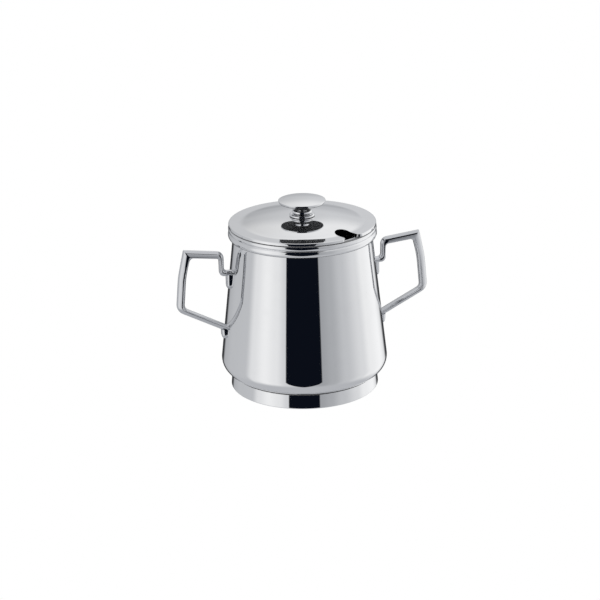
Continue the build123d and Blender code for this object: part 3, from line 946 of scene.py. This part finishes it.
class HandleShape:
    """Three matched lines that a handle is drawn on: outer edge, ridge, inner edge."""

    def __init__(self, handle, shape):
        self.handle = handle
        self.shape = shape
        self.slope = math.tan(handle.low_bar_slope)
        stub = self.from_shoulder(handle.stub_drop, handle.neck_reach)
        top = self.from_shoulder(handle.top_corner_drop, handle.top_corner_reach)
        bow = self.from_shoulder(handle.bow_drop, handle.bow_reach)
        self.low_corner = self.from_shoulder(handle.low_corner_drop, handle.low_corner_reach)
        self.stub_height = stub.y
        stub_top = stub.y + handle.stub_bar
        neck_outside = stub.x + handle.neck_bar
        neck_top = shape.shoulder - handle.top_bar_drop
        top_slope = (top.y - neck_top) / (top.x - stub.x)
        upper_lean = (bow.x - top.x) / (top.y - bow.y)
        lower_lean = (self.low_corner.x - bow.x) / (bow.y - self.low_corner.y)
        top_thickness = handle.top_bar * math.hypot(1, top_slope)

        def top_underside(across):
            """Height of the top bar's lower face."""
            return neck_top + (across - stub.x) * top_slope - top_thickness

        lean = (upper_lean + lower_lean) / 2
        bow_inside = bow.x - handle.outer_bar * math.hypot(1, lean)
        rise = top_underside(bow_inside) - bow.y
        fall = bow.y - self.low_upper_face(bow_inside)
        top_inside = bow_inside - rise * upper_lean / (1 + top_slope * upper_lean)
        low_inside = bow_inside + fall * lower_lean / (1 + self.slope * lower_lean)
        bend = handle.inner_bend
        elbow = handle.elbow_round
        corner = handle.corner_round
        bow_round = handle.bow_round
        self.corners = (
            HandleCorner(
                outer=self.in_wall(stub_top), outer_round=0,
                inner=self.in_wall(stub.y), inner_round=0,
                ridge=handle.stub_ridge, ridge_round=0, crown=handle.neck_crown),
            HandleCorner(
                outer=(stub.x, stub_top), outer_round=bend,
                inner=(neck_outside, stub.y), inner_round=elbow,
                ridge=handle.stub_ridge, ridge_round=elbow, crown=handle.neck_crown),
            HandleCorner(
                outer=(stub.x, neck_top), outer_round=handle.neck_round,
                inner=(neck_outside, top_underside(neck_outside)), inner_round=bend,
                ridge=handle.neck_ridge, ridge_round=bend, crown=handle.top_crown),
            HandleCorner(
                outer=top, outer_round=handle.top_corner_round,
                inner=(top_inside, top_underside(top_inside)), inner_round=corner,
                ridge=handle.top_ridge, ridge_round=corner / 4, crown=handle.top_crown),
            HandleCorner(
                outer=bow, outer_round=bow_round,
                inner=(bow_inside, bow.y), inner_round=bow_round,
                ridge=handle.bow_ridge, ridge_round=bow_round, crown=handle.bar_crown),
            HandleCorner(
                outer=self.low_corner, outer_round=handle.low_corner_round,
                inner=(low_inside, self.low_upper_face(low_inside)), inner_round=corner,
                ridge=handle.low_ridge, ridge_round=corner, crown=handle.bar_crown),
            HandleCorner(
                outer=self.low_end(self.low_face), outer_round=0,
                inner=self.low_end(self.low_upper_face), inner_round=0,
                ridge=handle.end_ridge, ridge_round=0, crown=handle.bar_crown))

    def from_shoulder(self, drop, reach):
        """Across and up of a point below the shoulder, measured out from the wall."""
        height = self.shape.shoulder - drop
        return Vector((self.shape.wall(height) + reach, height))

    def in_wall(self, height):
        """A point at a height, just inside the wall."""
        return self.shape.wall(height) - self.handle.sunk, height

    def low_face(self, across):
        """Height of the low bar's lower face."""
        return self.low_corner.y - (self.low_corner.x - across) * self.slope

    def low_upper_face(self, across):
        """Height of the low bar's upper face."""
        return self.low_face(across) + self.handle.low_bar * math.hypot(1, self.slope)

    def low_end(self, face):
        """Where a face of the low bar ends inside the sloping wall."""
        turn_in = math.tan(self.shape.lean)
        across = self.in_wall(face(0))[0] / (1 + self.slope * turn_in)
        return across, face(across)

    def strands(self):
        """The three lines and the crown, with the same number of points on each."""
        lines = [[], [], []]
        crowns = []
        for corner in self.corners:
            outer = Vector(corner.outer)
            inner = Vector(corner.inner)
            lines[0].append((*outer, corner.outer_round))
            lines[1].append((*outer.lerp(inner, corner.ridge), corner.ridge_round))
            lines[2].append((*inner, corner.inner_round))
            crowns.append(corner.crown)
        steps = [math.ceil((Vector(a[:2]) - Vector(b[:2])).length / LONGEST_STEP)
                 for a, b in zip(lines[0], lines[0][1:])]
        along = [crowns[0]]
        for i, amount in enumerate(steps):
            change = crowns[i + 1] - crowns[i]
            along += [crowns[i] + change * k / amount for k in range(1, amount)]
            bend = HANDLE_BEND_STEPS + 1 if i < len(steps) - 1 else 1
            along += [crowns[i + 1]] * bend
        return [*(strand(line, steps) for line in lines), along]


def strand(corners, stretches):
    """Points along one line of a handle, with a set number of steps on each stretch."""
    spots = [Vector(corner[:2]) for corner in corners]
    points = [spots[0]]
    for i in range(1, len(spots)):
        bend = [spots[i]]
        if i < len(spots) - 1:
            bend = rounded_corner(
                spots[i - 1], spots[i], spots[i + 1], corners[i][2], HANDLE_BEND_STEPS)
        start = points[-1]
        steps = stretches[i - 1]
        points += [start.lerp(bend[0], k / steps) for k in range(1, steps)]
        points += bend
    return points


def crowned_ring(handle, outer, ridge, inner, crown):
    """Points of a crowned section between both edges, widest at the ridge."""
    ring = []
    for i in range(HANDLE_RING):
        angle = math.tau * i / HANDLE_RING
        across = abs(math.cos(angle)) ** (2 / crown)
        deep = abs(math.sin(angle)) ** (2 / handle.fullness)
        spot = ridge.lerp(outer if math.cos(angle) > 0 else inner, across)
        ring.append((spot.x, math.copysign(handle.width / 2 * deep, math.sin(angle)), spot.y))
    return ring


def tab_rings(handle, shape, top, tip):
    """Sections of a tapering tongue down the wall, with a round lower end."""
    half = handle.width / 2 * handle.tab_width
    round_off = handle.tab_fullness
    shoulder = tip + half
    steps = math.ceil((top - shoulder) / LONGEST_STEP)
    spots = [(top + (shoulder - top) * i / steps, 1) for i in range(steps)]
    for i in range(TAB_END_STEPS):
        angle = TAB_END_STEP * i
        spots.append((shoulder - half * math.sin(angle), math.cos(angle)))
    rings = []
    for height, narrow in spots:
        down = (top - height) / (top - tip)
        thick = handle.tab_root + (handle.tab_tip - handle.tab_root) * down
        back = shape.wall(height) - handle.sunk
        deep = (thick + handle.sunk) * math.sqrt(narrow)
        ring = []
        for i in range(HANDLE_RING // 2 + 1):
            angle = math.tau * i / HANDLE_RING
            across = math.copysign(abs(math.cos(angle)) ** round_off, math.cos(angle))
            out = back + deep * math.sin(angle) ** round_off
            ring.append((out, half * narrow * across, height))
        rings.append(ring)
    return rings


def lofted(name, rings):
    """A closed solid through rings of the same number of points."""
    size = len(rings[0])
    points = [point for ring in rings for point in ring]
    faces = [tuple(range(size)), tuple(range(len(points) - size, len(points)))]
    for row in range(len(rings) - 1):
        for i in range(size):
            here = row * size + i
            after = row * size + (i + 1) % size
            faces.append((here, after, after + size, here + size))
    return faces_outwards(new_piece(name, points, (), faces))


def cast_handle(name, handle, shape, degrees):
    """A handle: the crowned bar through its bends, joined to both wall tabs."""
    drawn = HandleShape(handle, shape)
    bar = lofted(name, [crowned_ring(handle, *spots) for spots in zip(*drawn.strands())])
    stub_middle = drawn.stub_height + handle.stub_bar / 2
    upper_tip = drawn.stub_height - handle.upper_tab
    low_end = drawn.low_end(drawn.low_face)[1]
    low_middle = low_end + handle.low_bar / 2
    for top, tip in ((stub_middle, upper_tip), (low_middle, low_end - handle.lower_tab)):
        tab = lofted("tab", tab_rings(handle, shape, top, tip))
        joined = bar.modifiers.new("tab", "BOOLEAN")
        joined.operation = "UNION"
        joined.solver = "EXACT"
        joined.object = tab
        as_plain_mesh(bar)
        bpy.data.objects.remove(tab)
    bar.data.transform(Matrix.Rotation(math.radians(degrees), 4, "Z"))
    faces_outwards(bar)
    bar.data.shade_smooth()
    bar.data.set_sharp_from_angle(angle=SHARP_EDGE)
    bar.data.materials.clear()
    bar.data.materials.append(handle_finish())
    return bar


def collar_outline(knob, lid_top):
    """Cross-section of the knob's collar."""
    top = top_of("knob_collar").z
    return outline(
        (knob.bore_radius, lid_top, 0),
        (knob.collar_radius, lid_top, knob.collar_low_round),
        (knob.collar_radius, top, knob.collar_top_round),
        (knob.bore_radius, top, 0))


def stem_outline(knob):
    """Half of the stem's cross-section: ring, waist, flare and spigot."""
    low = top_of("knob_collar").z
    top = foot_of("knob_cap").z
    ring_top = low + knob.ring_height
    ring_foot = knob.ring_radius - knob.ring_height / 2
    ring = ((ring_foot, low), (knob.ring_radius, (low + ring_top) / 2), (ring_foot, ring_top))
    waist = ((ring_foot, ring_top), (knob.waist_radius, (ring_top + top) / 2),
             (knob.flare_radius, top))
    return outline(
        (0, low, 0), *arc(*ring), *arc(*waist), (knob.flare_radius, top, 0),
        (knob.spigot_radius, top, 0), (knob.spigot_radius, top_of("knob_stem").z, 0),
        (0, top_of("knob_stem").z, 0), closed=False)


def cap_outline(knob):
    """Half of the cap's cross-section: underside, bevelled edge and domed top."""
    low = foot_of("knob_cap").z
    edge = low + knob.cap_edge
    top = edge + knob.cap_dome
    curve = (knob.cap_radius**2 + knob.cap_dome**2) / (2 * knob.cap_dome)
    half = knob.cap_radius / 2
    middle = top - curve + math.sqrt(curve**2 - half**2)
    dome = arc((knob.cap_radius, edge), (half, middle), (0, top))
    return outline(
        (0, low, 0),
        (knob.cap_radius - knob.cap_bevel, low, knob.cap_round),
        (knob.cap_radius, edge, knob.cap_round),
        *dome[1:],
        (0, top, 0), closed=False)


# Operators, one for each piece or group of like pieces


class MakeBowl(bpy.types.Operator):
    """Turns the bowl and its bottom disc"""
    bl_idname = "sugar_pot.make_bowl"
    bl_label = "Bowl"

    def execute(self, context):
        shape = BowlShape(context.scene.pot_bowl)
        finish = bowl_finish()
        bowl = turned("bowl", bowl_outline(shape), finish)
        seat_piece(bowl, "bowl_shell", "pot")
        bottom = turned("bottom_disc", bottom_outline(shape), finish)
        seat_piece(bottom, "bowl_bottom", "pot")
        return {"FINISHED"}


class MakeBandAndFoot(bpy.types.Operator):
    """Turns the rim band and the foot ring"""
    bl_idname = "sugar_pot.make_band_and_foot"
    bl_label = "Rim band and foot"

    def execute(self, context):
        shape = BowlShape(context.scene.pot_bowl)
        band = turned("beaded_band", band_outline(shape), band_finish())
        seat_piece(band, "rim_band", "pot")
        foot = turned("foot", foot_outline(shape), foot_finish())
        seat_piece(foot, "foot_ring", "pot")
        return {"FINISHED"}


class MakeHandles(bpy.types.Operator):
    """Casts the two handles"""
    bl_idname = "sugar_pot.make_handles"
    bl_label = "Handles"

    def execute(self, context):
        shape = BowlShape(context.scene.pot_bowl)
        handle = context.scene.pot_handle
        right = cast_handle("handle_right", handle, shape, 0)
        seat_piece(right, "right_handle", "pot")
        left = cast_handle("handle_left", handle, shape, 180)
        seat_piece(left, "left_handle", "pot")
        return {"FINISHED"}


class MakeLid(bpy.types.Operator):
    """Turns the lid and its skirt and cuts the spoon notch"""
    bl_idname = "sugar_pot.make_lid"
    bl_label = "Lid"

    def execute(self, context):
        lid = context.scene.pot_lid
        mouth = context.scene.pot_bowl.mouth
        bore = context.scene.pot_knob.bore_radius
        cutter = notch_cutter(lid)
        plate = turned("lid", lid_outline(lid, mouth, bore), lid_finish())
        seat_piece(cut_notch(plate, cutter), "lid_plate", "lid")
        skirt = turned("skirt", skirt_outline(lid, mouth), lid_finish())
        seat_piece(cut_notch(skirt, cutter), "lid_skirt", "lid")
        bpy.data.objects.remove(cutter)
        return {"FINISHED"}


class MakeKnob(bpy.types.Operator):
    """Turns the knob's collar, stem and cap"""
    bl_idname = "sugar_pot.make_knob"
    bl_label = "Knob"

    def execute(self, context):
        knob = context.scene.pot_knob
        finish = knob_finish()
        lid_top = context.scene.pot_lid.top
        collar = turned("collar", collar_outline(knob, lid_top), finish)
        seat_piece(collar, "knob_collar", "lid")
        stem = turned("stem", stem_outline(knob), finish)
        seat_piece(stem, "knob_stem", "lid")
        cap = turned("cap", cap_outline(knob), finish)
        seat_piece(cap, "knob_cap", "lid")
        return {"FINISHED"}


class MakeScrew(bpy.types.Operator):
    """Finishes the screw and washer inside the lid"""
    bl_idname = "sugar_pot.make_screw"
    bl_label = "Screw and washer"

    def execute(self, context):
        for node in ("knob_screw", "spring_washer"):
            finish_cad_node(node, screw_finish())
        return {"FINISHED"}


# Studio


def pale_floor(look):
    """White table that takes a shadow and isn't seen in the steel."""
    side = 3.0
    half = side / 2
    corners = [(-half, -half, 0), (half, -half, 0), (half, half, 0), (-half, half, 0)]
    floor = new_piece("floor", corners, (), [(0, 1, 2, 3)])
    material = bpy.data.materials.new("pale floor")
    material.use_nodes = True
    tree = material.node_tree
    tree.nodes.clear()
    rays = add_node(tree, "ShaderNodeLightPath", (0, 0))
    matt = add_node(tree, "ShaderNodeBsdfDiffuse", (0, 2))
    matt.inputs["Color"].default_value = (*look.backdrop, 1)
    white = add_node(tree, "ShaderNodeEmission", (0, 3))
    white.inputs["Color"].default_value = (*look.backdrop, 1)
    white.inputs["Strength"].default_value = 1
    clear = add_node(tree, "ShaderNodeBsdfTransparent", (1, 3))
    seen = add_node(tree, "ShaderNodeMixShader", (1, 1))
    tree.links.new(rays.outputs["Is Camera Ray"], seen.inputs[0])
    tree.links.new(matt.outputs[0], seen.inputs[1])
    tree.links.new(white.outputs[0], seen.inputs[2])
    mirrored = add_node(tree, "ShaderNodeMixShader", (2, 1))
    tree.links.new(rays.outputs["Is Glossy Ray"], mirrored.inputs[0])
    tree.links.new(seen.outputs[0], mirrored.inputs[1])
    tree.links.new(clear.outputs[0], mirrored.inputs[2])
    shown = add_node(tree, "ShaderNodeOutputMaterial", (3, 1))
    tree.links.new(mirrored.outputs[0], shown.inputs["Surface"])
    floor.data.materials.append(material)
    return floor


COOL_SHADOWS = 0.04   # how much bluer the tent's dark places are


def grey_ramp(tree, place, stops, low, high):
    """Brightness along a range, a little cool where it's dark. Stops are place and grey."""
    ramp = add_node(tree, "ShaderNodeValToRGB", place)
    ramp.color_ramp.interpolation = "EASE"
    elements = ramp.color_ramp.elements
    for i, (spot, grey) in enumerate(stops):
        where = (spot - low) / (high - low)
        element = elements[i] if i < 2 else elements.new(where)
        element.position = where
        cool = COOL_SHADOWS * (1 - min(grey, 1))
        element.color = (grey * (1 - cool), grey, grey * (1 + 2 * cool), 1)
    return ramp


# Brightness of the light tent as the steel sees it: degrees, linear grey
ROUND_THE_TENT = (
    (-180, 0.50), (-150, 0.50), (-120, 0.60), (-90, 0.62), (-76, 0.90), (-57, 1.04),
    (-40, 0.95), (-27, 0.78), (0, 0.60), (24, 0.42), (40, 0.49), (60, 0.64), (88, 0.84),
    (104, 1.02), (130, 1.10), (150, 0.85), (180, 0.60))
UP_THE_BACK = (
    (-90, 0.45), (-50, 0.42), (-30, 0.05), (-17, 0.05), (-9, 0.33), (-3, 0.45), (6, 0.57),
    (16, 0.70), (30, 0.97), (45, 1.08), (60, 0.85), (90, 0.80))

# Where one side of the tent gives way to the next, in degrees
BACK_EDGE = (145, 156)   # round from the front: sides to back
ROOF_EDGE = (30, 55)     # above the horizon: walls to roof
FLOOR_EDGE = (26, 50)    # below the horizon: walls to floor

ROOF_COLOUR = (0.78, 0.785, 0.80, 1)
FLOOR_COLOUR = (0.55, 0.56, 0.585, 1)
OPENING_COLOUR = (0.004, 0.0055, 0.0105, 1)
LEFT_SHADE = 0.76           # brightness of the back's left part against the rest
LEFT_EDGE = (-0.2, 0.05)    # sideways part of a direction, from this shade to none
FOOT_CURVE = (1.5, 0.6)     # powers that round the opening's lower end


def light_tent(look):
    """World: white to the camera, and to the steel a tent with one dark opening.

    The tent stands still in the world. Its front is the side that the photograph was
    taken from, which the camera's azimuth gives.
    """
    world = bpy.data.worlds.new("light tent")
    bpy.context.scene.world = world
    world.use_nodes = True
    tree = world.node_tree
    tree.nodes.clear()
    link = tree.links.new
    direction = add_node(tree, "ShaderNodeTexCoord", (0, 0)).outputs["Generated"]
    facing = add_node(tree, "ShaderNodeVectorRotate", (1, 0), rotation_type="Z_AXIS")
    facing.inputs["Angle"].default_value = -look.azimuth
    link(direction, facing.inputs["Vector"])
    parts = add_node(tree, "ShaderNodeSeparateXYZ", (2, 0))
    link(facing.outputs[0], parts.inputs[0])
    to_front = maths(tree, "MULTIPLY", (3, 0), parts.outputs["Y"], -1)
    azimuth = maths(tree, "ARCTAN2", (4, 0), parts.outputs["X"], to_front)
    elevation = maths(tree, "ARCSINE", (3, 1), parts.outputs["Z"])

    def smooth(value, start, end, place):
        """A soft step, with its start and end in degrees."""
        node = add_node(tree, "ShaderNodeMapRange", place, interpolation_type="SMOOTHSTEP")
        link(value, node.inputs["Value"])
        node.inputs["From Min"].default_value = math.radians(start)
        node.inputs["From Max"].default_value = math.radians(end)
        return node.outputs[0]

    def blend(factor, first, second, place):
        """A mix of two colours or colour sockets."""
        node = add_node(tree, "ShaderNodeMix", place, data_type="RGBA")
        link(factor, node.inputs["Factor"])
        for socket, value in ((node.inputs["A"], first), (node.inputs["B"], second)):
            if isinstance(value, bpy.types.NodeSocket):
                link(value, socket)
            else:
                socket.default_value = value
        return node.outputs["Result"]

    round_place = maths(tree, "MULTIPLY_ADD", (5, 0), azimuth, 1 / math.tau, 0.5)
    sides = grey_ramp(tree, (6, 0), ROUND_THE_TENT, -180, 180)
    link(round_place, sides.inputs[0])
    height_place = maths(tree, "MULTIPLY_ADD", (5, 2), elevation, 1 / math.pi, 0.5)
    behind = grey_ramp(tree, (6, 2), UP_THE_BACK, -90, 90)
    link(height_place, behind.inputs[0])
    shade = add_node(tree, "ShaderNodeMapRange", (6, 3))
    link(parts.outputs["X"], shade.inputs["Value"])
    shade.inputs["From Min"].default_value = LEFT_EDGE[0]
    shade.inputs["From Max"].default_value = LEFT_EDGE[1]
    shade.inputs["To Min"].default_value = LEFT_SHADE
    shaded = add_node(tree, "ShaderNodeVectorMath", (7, 2), operation="SCALE")
    link(behind.outputs[0], shaded.inputs[0])
    link(shade.outputs[0], shaded.inputs["Scale"])
    apart = maths(tree, "ABSOLUTE", (5, 1), azimuth)
    at_back = smooth(apart, *BACK_EDGE, (6, 1))
    walls = blend(at_back, sides.outputs[0], shaded.outputs[0], (8, 0))
    roof = smooth(elevation, *ROOF_EDGE, (7, 3))
    roofed = blend(roof, walls, ROOF_COLOUR, (9, 0))
    below = smooth(maths(tree, "MULTIPLY", (6, 4), elevation, -1), *FLOOR_EDGE, (7, 4))
    tent = blend(below, roofed, FLOOR_COLOUR, (10, 0))

    # The opening stands in front of the pot and bends overhead. Its half width is reach,
    # and aside is the distance from its middle.
    soft = math.degrees(look.opening_soft)
    slab = maths(tree, "MULTIPLY", (6, 6), parts.outputs["Z"], 1 / math.tan(look.opening_slab))
    reach = maths(tree, "MULTIPLY", (8, 6), maths(tree, "MAXIMUM", (7, 6), to_front, slab),
                  math.tan(look.opening_half))
    sunk = add_node(tree, "ShaderNodeMapRange", (6, 7))
    link(elevation, sunk.inputs["Value"])
    sunk.inputs["From Min"].default_value = look.opening_bend
    sunk.inputs["From Max"].default_value = look.opening_foot
    rest = maths(tree, "SUBTRACT", (8, 7), 1,
                 maths(tree, "POWER", (7, 7), sunk.outputs[0], FOOT_CURVE[0]))
    reach = maths(tree, "MULTIPLY", (10, 6), reach,
                  maths(tree, "POWER", (9, 7), rest, FOOT_CURVE[1]))
    aside = maths(tree, "MULTIPLY_ADD", (6, 5), to_front, -math.tan(look.opening_middle),
                  parts.outputs["X"])
    left_over = maths(tree, "SUBTRACT", (11, 6), reach, maths(tree, "ABSOLUTE", (7, 5), aside))
    between = smooth(left_over, 0, 2 * soft, (12, 6))
    under_top = maths(tree, "MULTIPLY_ADD", (7, 8), parts.outputs["Z"],
                      -1 / math.tan(look.opening_top), to_front)
    inside = maths(tree, "MULTIPLY", (13, 6), between, smooth(under_top, -soft, soft, (8, 8)))
    lit = blend(inside, tent, OPENING_COLOUR, (11, 0))

    rays = add_node(tree, "ShaderNodeLightPath", (11, 2))
    whole = blend(rays.outputs["Is Camera Ray"], lit, (*look.backdrop, 1), (12, 0))
    glow = add_node(tree, "ShaderNodeBackground", (13, 0))
    glow.inputs["Strength"].default_value = 1
    link(whole, glow.inputs["Color"])
    shown = add_node(tree, "ShaderNodeOutputWorld", (14, 0))
    link(glow.outputs[0], shown.inputs["Surface"])


def place_camera(look):
    """Camera at the photograph's place and angle."""
    picture = 600
    sensor = 36.0
    camera = bpy.data.objects.new("camera", bpy.data.cameras.new("camera"))
    bpy.context.scene.collection.objects.link(camera)
    bpy.context.scene.camera = camera
    camera.data.sensor_width = sensor
    camera.data.lens = look.lens
    camera.data.clip_start = 0.01
    camera.data.clip_end = 100
    turned_by = Matrix.Rotation(look.azimuth, 3, "Z")
    ahead = Vector((0, math.cos(look.elevation), -math.sin(look.elevation)))
    right = Vector((1, 0, 0))
    up = right.cross(ahead)
    rolled_right = right * math.cos(look.roll) + up * math.sin(look.roll)
    rolled_up = up * math.cos(look.roll) - right * math.sin(look.roll)
    spot = Vector((0, 0, look.aim_height)) - ahead * look.distance - right * look.side_step
    focal = look.lens / sensor * picture
    aim = ahead * focal - rolled_right * look.aim_right + rolled_up * look.aim_down
    aim = turned_by @ aim.normalized()
    up_line = turned_by @ rolled_up
    side = aim.cross(up_line).normalized()
    upright = side.cross(aim)
    camera.matrix_world = Matrix.Translation(turned_by @ spot) @ Matrix(
        (side, upright, -aim)).transposed().to_4x4()


class MakeStudio(bpy.types.Operator):
    """Sets up the floor, the light tent and the camera"""
    bl_idname = "sugar_pot.make_studio"
    bl_label = "Studio"

    def execute(self, context):
        look = context.scene.pot_studio
        pale_floor(look)
        light_tent(look)
        place_camera(look)
        context.scene.view_settings.view_transform = "Standard"
        return {"FINISHED"}


class SugarPotPanel(bpy.types.Panel):
    """Lists the pieces and their sizes."""
    bl_idname = "VIEW3D_PT_sugar_pot"
    bl_label = "Sugar Pot"
    bl_space_type = "VIEW_3D"
    bl_region_type = "UI"
    bl_category = "Sugar Pot"

    def draw(self, context):
        groups = {
            "pot_bowl": (MakeBowl, MakeBandAndFoot),
            "pot_handle": (MakeHandles,),
            "pot_lid": (MakeLid,),
            "pot_knob": (MakeKnob, MakeScrew),
            "pot_finish": (),
            "pot_studio": (MakeStudio,),
        }
        for name, makers in groups.items():
            values = getattr(context.scene, name)
            box = self.layout.box()
            for key in values.bl_rna.properties.keys():
                if key not in ("name", "rna_type"):
                    box.prop(values, key)
            for maker in makers:
                box.operator(maker.bl_idname)


PROPERTY_GROUPS = {
    "pot_bowl": BowlSizes,
    "pot_handle": HandleSizes,
    "pot_lid": LidSizes,
    "pot_knob": KnobSizes,
    "pot_finish": FinishLook,
    "pot_studio": StudioLook,
}
OPERATORS = (MakeStudio, MakeBowl, MakeBandAndFoot, MakeHandles, MakeLid, MakeKnob, MakeScrew)


def register():
    """Registers the property groups, the operators and the panel."""
    for name, group in PROPERTY_GROUPS.items():
        bpy.utils.register_class(group)
        setattr(bpy.types.Scene, name, bpy.props.PointerProperty(type=group))
    for operator in (*OPERATORS, SugarPotPanel):
        bpy.utils.register_class(operator)


def unregister():
    """Takes back what register did."""
    for operator in reversed((*OPERATORS, SugarPotPanel)):
        bpy.utils.unregister_class(operator)
    for name, group in reversed(PROPERTY_GROUPS.items()):
        delattr(bpy.types.Scene, name)
        bpy.utils.unregister_class(group)


def main():
    """Builds the pot and its studio."""
    register()
    for operator in OPERATORS:
        area, name = operator.bl_idname.split(".")
        getattr(getattr(bpy.ops, area), name)()


if __name__ == "__main__":
    main()
